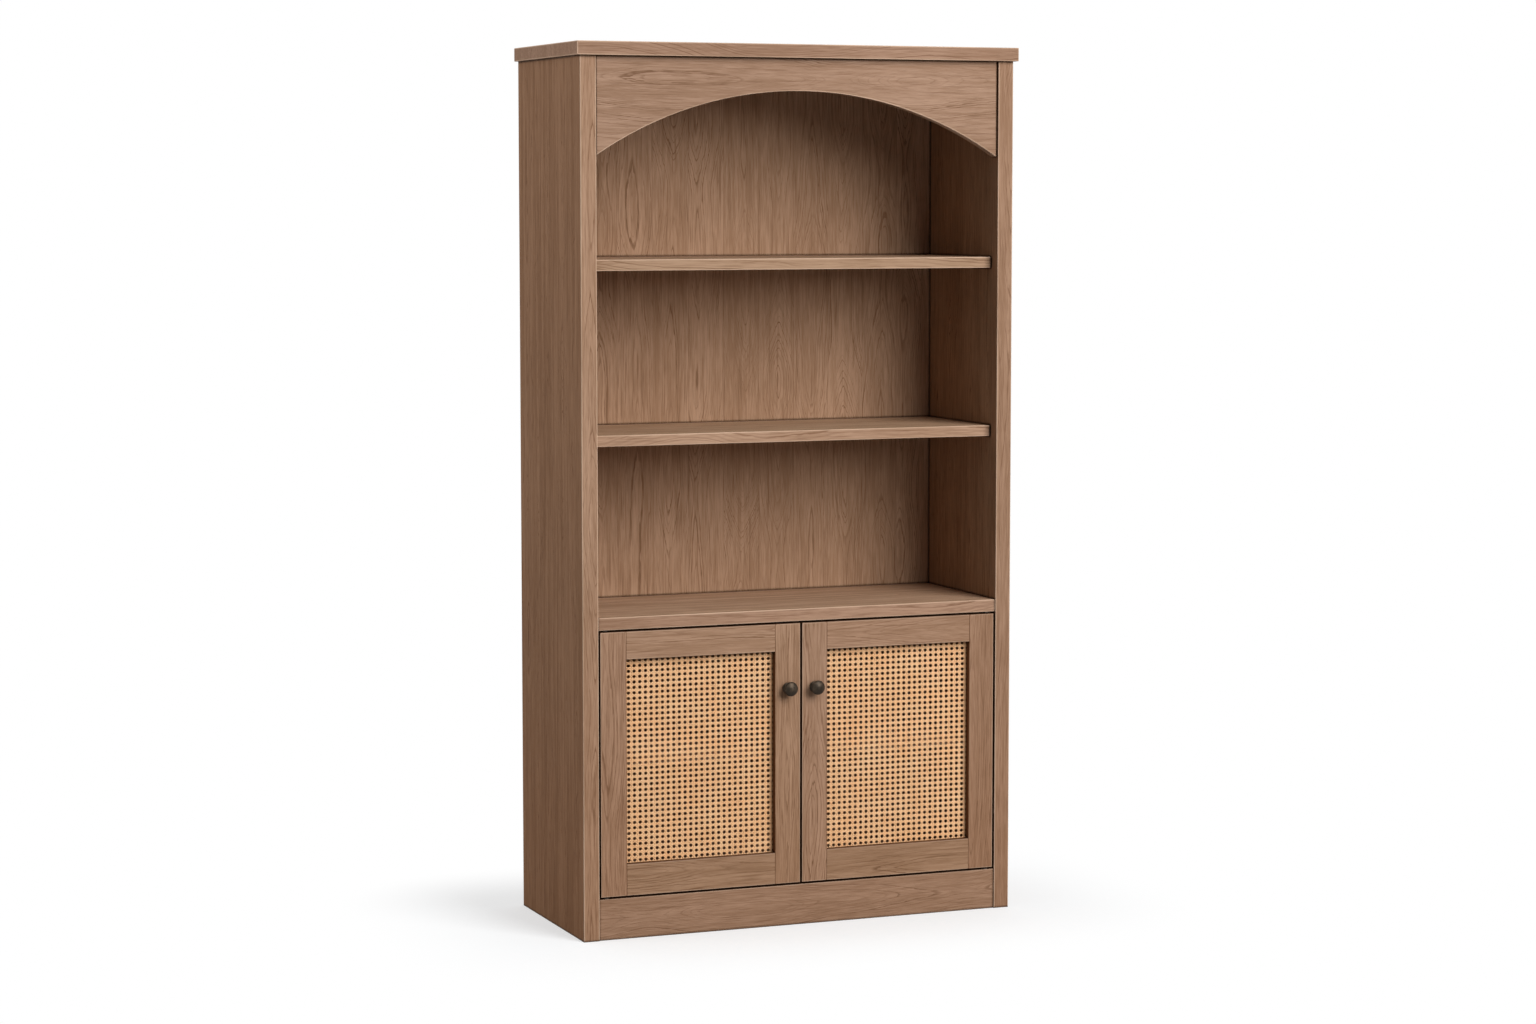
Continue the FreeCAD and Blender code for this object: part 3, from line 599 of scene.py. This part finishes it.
    def board(self, joined, shade, edge_shade):
        """The finished material, whose edges take a painted highlight, with the finish also rubbed thin,
        except across the axes named in joined.
        There the board meets its neighbours.
        """
        sides = self.parts(self.coordinates("Normal"))
        facing = {axis: self.calc("ABSOLUTE", sides[axis]) for axis in "XYZ"}
        colour = self.shaded(self.wood_colour(), facing, shade, edge_shade)
        colour = self.edged(colour, facing, joined)
        pores = self.calc("MULTIPLY", self.pore, pore_depth)
        lines = self.calc("MULTIPLY", self.line, line_depth)
        raised = self.calc("MULTIPLY", self.fibre, fibre_height)
        height = self.calc("SUBTRACT", raised, self.calc("ADD", pores, lines))
        roughness = self.steps(self.fibre, 0.2, 0.8, to_low=0.60, to_high=0.74)
        return self.finish(colour, roughness, height, bump_depth=0.0003, Specular_IOR_Level=0.03)


def cane():
    """Split rattan skin: streaks along each strand, blotches over the sheet, rims darkened as painted shade,
    a dull gloss.
    """
    shader = Shader("cane")
    strand = shader.node("ShaderNodeAttribute", attribute_name="strand")
    across, along, chance = shader.parts(strand.outputs["Vector"])
    drawn_out = shader.scaled((across, along, chance), cane_streak_scales)
    streak = shader.noise(drawn_out, detail=4.0, roughness=0.6)
    blotch = shader.noise(shader.coordinates(), scale=cane_blotch_scale, detail=4.0, roughness=0.6)
    tone = shader.calc("ADD", shader.calc("MULTIPLY", streak, 0.5), shader.calc("MULTIPLY", blotch, 0.5))
    tone = shader.calc("ADD", tone, shader.swing(chance, cane_swing))
    colour = shader.mix(shader.steps(tone, 0.30, 0.70), cane_middle, cane_light)
    # Painted shade on each strand's rims, where it curves away from the light
    rim_shade = shader.steps(shader.calc("ABSOLUTE", across), *cane_rim_shade)
    colour = shader.marked(colour, rim_shade, cane_rim_shade_share, cane_stain_and_shade)
    colour = shader.mix(shader.steps(streak, *cane_stain, to_high=cane_stain_share), colour, cane_stain_and_shade)
    roughness = shader.steps(streak, 0.2, 0.8, to_low=0.45, to_high=0.60)
    return shader.finish(colour, roughness, streak, bump_depth=0.0002, Specular_IOR_Level=0.50)


def dark_bronze():
    """Oil-rubbed bronze: nearly black brown with warmer metal where hands polish it."""
    shader = Shader("dark_bronze")
    place = shader.coordinates()
    cloud = shader.noise(place, scale=120.0, detail=5.0, roughness=0.6)
    grit = shader.noise(place, scale=1800.0, detail=3.0, roughness=0.6)
    colour = shader.mix(shader.steps(cloud, 0.40, 0.68), bronze_dark, bronze_worn)
    roughness = shader.steps(cloud, 0.3, 0.7, to_low=0.38, to_high=0.46)
    return shader.finish(colour, roughness, grit, bump_depth=0.00005, Metallic=0.75)


def steel():
    """Zinc-plated steel with fine drawing lines."""
    shader = Shader("steel")
    place = shader.coordinates()
    lines = shader.noise(shader.scaled(shader.parts(place), (300.0, 3000.0, 3000.0)), detail=3.0)
    bloom = shader.noise(place, scale=90.0, detail=4.0)
    colour = shader.mix(shader.steps(bloom, 0.35, 0.65), steel_dull, steel_bright)
    roughness = shader.steps(lines, 0.25, 0.75, to_low=0.40, to_high=0.56)
    return shader.finish(colour, roughness, lines, bump_depth=0.00003, Metallic=1.0)


def nylon():
    """Dark brown moulded nylon with a fine spark-eroded skin."""
    shader = Shader("nylon")
    place = shader.coordinates()
    skin = shader.noise(place, scale=2600.0, detail=2.0)
    cloud = shader.noise(place, scale=60.0, detail=3.0)
    colour = shader.mix(shader.steps(cloud, 0.3, 0.7), nylon_dark, nylon_light)
    roughness = shader.steps(skin, 0.3, 0.7, to_low=0.42, to_high=0.58)
    return shader.finish(colour, roughness, skin, bump_depth=0.00004)


def magnet():
    """Sintered magnet: dark grey with a mottled, grainy face."""
    shader = Shader("magnet")
    grain = shader.noise(shader.coordinates(), scale=1500.0, detail=4.0, roughness=0.7)
    colour = shader.mix(shader.steps(grain, 0.35, 0.65), magnet_dark, magnet_light)
    roughness = shader.steps(grain, 0.3, 0.7, to_low=0.50, to_high=0.70)
    return shader.finish(colour, roughness, grain, bump_depth=0.00006, Metallic=0.3)


def dowel_wood():
    """Pale beech with short dark flecks."""
    shader = Shader("dowel_wood")
    axes = shader.parts(shader.coordinates())
    fleck = shader.noise(shader.scaled(axes, (120.0, 900.0, 900.0)), detail=3.0)
    colour = shader.mix(shader.steps(fleck, 0.42, 0.62), beech_light, beech_fleck)
    roughness = shader.steps(fleck, 0.3, 0.7, to_low=0.55, to_high=0.70)
    return shader.finish(colour, roughness, fleck, bump_depth=0.0001)


def dress(name, material):
    """A CAD node keeps its shape and takes a better material."""
    for slot in nodes[name].material_slots:
        slot.material = material


def dress_boards():
    """Each board gets oak whose grain runs its long way, with its own seed. Rails, the valance and the
    plinth board meet their neighbours at both ends.
    """
    seed = first_seed
    for grain, boards in (("Z", upright_boards), ("X", level_boards)):
        for name, face in boards.items():
            leaves = grain == "Z" and name.endswith("_panel")
            level_joined = name.endswith("_rail") or name in ("arched_valance", "plinth_board")
            shade = tones_and_painted_light.get(name, white)
            oak = Oak(name, grain, face, leaves, seed)
            dress(name, oak.board("X" if level_joined else "", shade, edge_tones_and_painted_light.get(name, shade)))
            seed += seed_step


def dress_hardware():
    """The knobs and pivots are dark bronze, and what the record calls steel and isn't named here is steel."""
    finishes = {
        dark_bronze(): ["left_door_knob", "right_door_knob", "left_door_pivot_pins", "right_door_pivot_pins",
                        "left_door_thrust_washer", "right_door_thrust_washer"],
        nylon(): ["left_pivot_bushes", "right_pivot_bushes", "left_catch_housing", "right_catch_housing"],
        magnet(): ["left_catch_magnet", "right_catch_magnet"],
        dowel_wood(): ["shelf_dowels", "top_dowels", "stile_dowels", "plinth_dowels", "rail_dowels"],
    }
    dressed = [name for names in finishes.values() for name in names]
    finishes[steel()] = [name for name in nodes if nodes[name].material_slots and name not in dressed
                         and nodes[name].material_slots[0].material.name.startswith("steel")]
    for material, names in finishes.items():
        for name in names:
            dress(name, material)


def strand_mesh(name, strands):
    """One mesh of flat, round-backed ribbons. Each strand has the points of its middle line, a width, a
    direction across and a number by which its material sets it apart.
    """
    count = len(strand_outline)
    points, faces, facts = [], [], []
    for centre, width, across, chance in strands:
        first = len(points)
        gone = 0.0
        for index, (x, y, z) in enumerate(centre):
            if index:
                gone += math.dist(centre[index], centre[index - 1])
            for side, out in strand_outline:
                step = side * width
                points.append((x + step * across[0], y - out * strand_thickness, z + step * across[1]))
                facts.append((side, gone, chance))
        for row in range(len(centre) - 1):
            base = first + row * count
            for k in range(count):
                after = (k + 1) % count
                faces.append((base + k, base + after, base + count + after, base + count + k))
        last = first + (len(centre) - 1) * count
        faces.append(tuple(first + k for k in reversed(range(count))))
        faces.append(tuple(last + k for k in range(count)))
    mesh = bpy.data.meshes.new(name)
    mesh.from_pydata(points, [], faces)
    attribute = mesh.attributes.new("strand", "FLOAT_VECTOR", "POINT")
    attribute.data.foreach_set("vector", np.array(facts, dtype=np.float32).ravel())
    mesh.polygons.foreach_set("use_smooth", [True] * len(mesh.polygons))
    mesh.update()
    return mesh


def wave(turns):
    """A rounded zigzag from -1 to 1, with its crests a sixth of a turn either side of each whole turn."""
    return (math.sin(2 * math.pi * turns) + 0.5 * math.sin(4 * math.pi * turns)) / 1.3


def square_wave(turns):
    """A cosine with flattened crests."""
    level = math.cos(2 * math.pi * turns)
    return level * (1.5 - 0.5 * level * level)


def drifting(draw):
    """How far a strand strays sideways at a length along it, as a function drawn by chance."""
    phase, speed = draw.uniform(0, 2 * math.pi), draw.uniform(*wander_speed)
    size = draw.uniform(*wander_share) * strand_wander
    return lambda s: size * math.sin(phase + speed * s)


def paired_strands(low, high, upright, draw):
    """The strands that run in pairs, upright or crosswise, from edge to edge of the sheet.

    Where the two kinds cross, a pair's strands pass one before and one behind, and the other kind's the
    other way round.
    """
    if upright:
        width, spacing, pitch, crossing_pitch = upright_width, upright_spacing, cane_pitch_x, cane_pitch_z
        first, last, start, end = low.x, high.x, low.z, high.z
        across, before = (1.0, 0.0), 1
    else:
        width, spacing, pitch, crossing_pitch = crosswise_width, crosswise_spacing, cane_pitch_z, cane_pitch_x
        first, last, start, end = low.z, high.z, low.x, high.x
        across, before = (0.0, -1.0), -1
    middle, middle_y, origin = (first + last) / 2, (low.y + high.y) / 2, (start + end) / 2
    pairs = math.ceil((last - first) / pitch / 2)
    steps = math.ceil((end - start) / crossing_pitch * samples_per_pitch)
    strands = []
    for pair in range(-pairs, pairs + 1):
        for side in (-1, 1):
            level = middle + pair * pitch + side * spacing / 2
            if not first + width / 2 <= level <= last - width / 2:
                continue
            drawn_width = width * draw.uniform(*pair_width_share)
            drift = drifting(draw)
            centre = []
            for k in range(steps + 1):
                s = start + (end - start) * k / steps
                offset = level + drift(s)
                y = middle_y - before * side * pair_lift * wave((s - origin) / crossing_pitch)
                centre.append((offset, y, s) if upright else (s, y, offset))
            strands.append((centre, drawn_width, across, draw.random()))
    return strands


def diagonal_strands(low, high, draw):
    """The single strands that run both ways across the corners of the sheet's square holes."""
    centre_x, centre_z, middle_y = (low.x + high.x) / 2, (low.z + high.z) / 2, (low.y + high.y) / 2
    columns = math.ceil((high.x - low.x) / cane_pitch_x / 2)
    rows = math.ceil((high.z - low.z) / cane_pitch_z / 2)
    length = math.hypot(cane_pitch_x, cane_pitch_z)
    inset = diagonal_width / 2
    strands = []
    for slope in (1, -1):
        across = (slope * cane_pitch_z / length, -cane_pitch_x / length)
        for line in range(-columns - rows, columns + rows + 1):
            drift = drifting(draw)
            centre = []
            for k in range(-columns * samples_per_pitch, columns * samples_per_pitch + 1):
                turns = k / samples_per_pitch
                x = centre_x + turns * cane_pitch_x
                z = centre_z + (slope * turns + line + 0.5) * cane_pitch_z
                if low.x + inset <= x <= high.x - inset and low.z + inset <= z <= high.z - inset:
                    y = middle_y + slope * diagonal_lift * square_wave(turns)
                    move = drift(turns * cane_pitch_x)
                    centre.append((x + move * across[0], y, z + move * across[1]))
            if len(centre) > 1:
                width = diagonal_width * draw.uniform(*diagonal_width_share)
                strands.append((centre, width, across, draw.random()))
    return strands


def weave(door, seed):
    """Octagonal cane webbing: paired uprights and crosswise strands, and single diagonals both ways."""
    low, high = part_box(f"{door}_cane_panel")
    draw = random.Random(seed)
    strands = paired_strands(low, high, True, draw)
    strands += paired_strands(low, high, False, draw)
    strands += diagonal_strands(low, high, draw)
    sheet = bpy.data.objects.new(f"{door}_cane_weave", strand_mesh(f"{door}_cane_weave", strands))
    bpy.context.scene.collection.objects.link(sheet)
    return sheet


def cane_panels(material):
    for door, seed in cane_seeds.items():
        sheet = weave(door, seed)
        sheet.data.materials.append(material)
        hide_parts(f"{door}_cane_panel")
        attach(sheet, door)


def seen_ray(shader):
    """1 for what the camera sees itself, in a mirror or through glass, and 0 for light that bounces."""
    rays = shader.node("ShaderNodeLightPath").outputs
    mirrored = shader.calc("MAXIMUM", rays["Is Glossy Ray"], rays["Is Transmission Ray"])
    return shader.calc("MAXIMUM", rays["Is Camera Ray"], mirrored)


def floor_reach(shader, place):
    """How far a point of the floor lies outside the bookcase's own rectangle."""
    axes = shader.parts(place)
    beyond = []
    for axis, low, high in zip("XY", cad_box[0], cad_box[1]):
        from_middle = shader.calc("ABSOLUTE", shader.calc("SUBTRACT", axes[axis], (low + high) / 2))
        past = shader.calc("MAXIMUM", shader.calc("SUBTRACT", from_middle, (high - low) / 2), 0.0)
        beyond.append(shader.calc("MULTIPLY", past, past))
    return shader.calc("SQRT", shader.calc("ADD", beyond[0], beyond[1]))


def floor():
    """A pale floor that keeps the shadow about the case's foot and fades to white further off."""
    mesh = bpy.data.meshes.new("floor")
    corners = [(x * floor_half, y * floor_half, 0.0) for x, y in ((-1, -1), (1, -1), (1, 1), (-1, 1))]
    mesh.from_pydata(corners, [], [(0, 1, 2, 3)])
    plane = bpy.data.objects.new("floor", mesh)
    bpy.context.scene.collection.objects.link(plane)
    shader = Shader("floor")
    place = shader.coordinates()
    seen = seen_ray(shader)
    colour = shader.mix(seen, floor_colour, floor_shown)
    grit = shader.noise(place, scale=40.0)
    shader.finish(colour, roughness=0.9, height=grit, bump_depth=0.0001, Specular_IOR_Level=0.0)
    shader.feed(shader.surface.inputs["Emission Color"], white)
    shader.feed(shader.surface.inputs["Emission Strength"], shader.calc("MULTIPLY", seen, floor_glow))
    blank = shader.node("ShaderNodeEmission", {"Strength": 1.0})
    faded = shader.steps(floor_reach(shader, place), fade_start, fade_end)
    share = shader.calc("MULTIPLY", faded, seen)
    blend = shader.node("ShaderNodeMixShader", {0: share, 1: shader.surface.outputs[0], 2: blank.outputs[0]})
    shader.feed(shader.tree.nodes["Material Output"].inputs["Surface"], blend.outputs[0])
    mesh.materials.append(shader.material)


def lamp(name, place, target, size, power):
    """A soft rectangular lamp that the camera doesn't see."""
    data = bpy.data.lights.new(name, "AREA")
    data.shape = "RECTANGLE"
    data.size, data.size_y = size
    data.energy = power
    made = bpy.data.objects.new(name, data)
    made.location = place
    made.rotation_euler = (Vector(target) - made.location).to_track_quat("-Z", "Y").to_euler()
    made.visible_camera = False
    bpy.context.scene.collection.objects.link(made)


def sky():
    """A world that lights the bookcase more from behind than from the front and shows as plain white."""
    world = bpy.data.worlds.new("studio")
    world.use_nodes = True
    bpy.context.scene.world = world
    shader = Shader(world.node_tree)
    direction = shader.coordinates("Generated")
    lean = shader.node("ShaderNodeVectorMath", {0: direction, 1: sky_lean}, operation="DOT_PRODUCT")
    level = shader.calc("ADD", lean.outputs["Value"], sky_level)
    shown = seen_ray(shader)
    plain = shader.calc("MULTIPLY", level, shader.calc("SUBTRACT", 1.0, shown))
    background = shader.tree.nodes["Background"]
    shader.feed(background.inputs["Strength"], shader.calc("ADD", plain, shown))
    shader.feed(background.inputs["Color"], white)


def lights():
    """A large lamp high in front on the right, a weak one on the left, and the sky."""
    lamp("key", key_place, key_aim, key_size, key_power)
    lamp("fill", fill_place, fill_aim, fill_size, fill_power)
    sky()


def camera():
    data = bpy.data.cameras.new("camera")
    data.lens = camera_lens
    data.sensor_width = camera_sensor
    eye = bpy.data.objects.new("camera", data)
    eye.location = camera_place
    eye.rotation_euler = (math.pi / 2 - camera_tilt, 0.0, -camera_turn)
    bpy.context.scene.collection.objects.link(eye)
    bpy.context.scene.camera = eye
    bpy.context.scene.view_settings.view_transform = "Standard"


dress_hardware()
dress_boards()
cane_panels(cane())
floor()
lights()
camera()
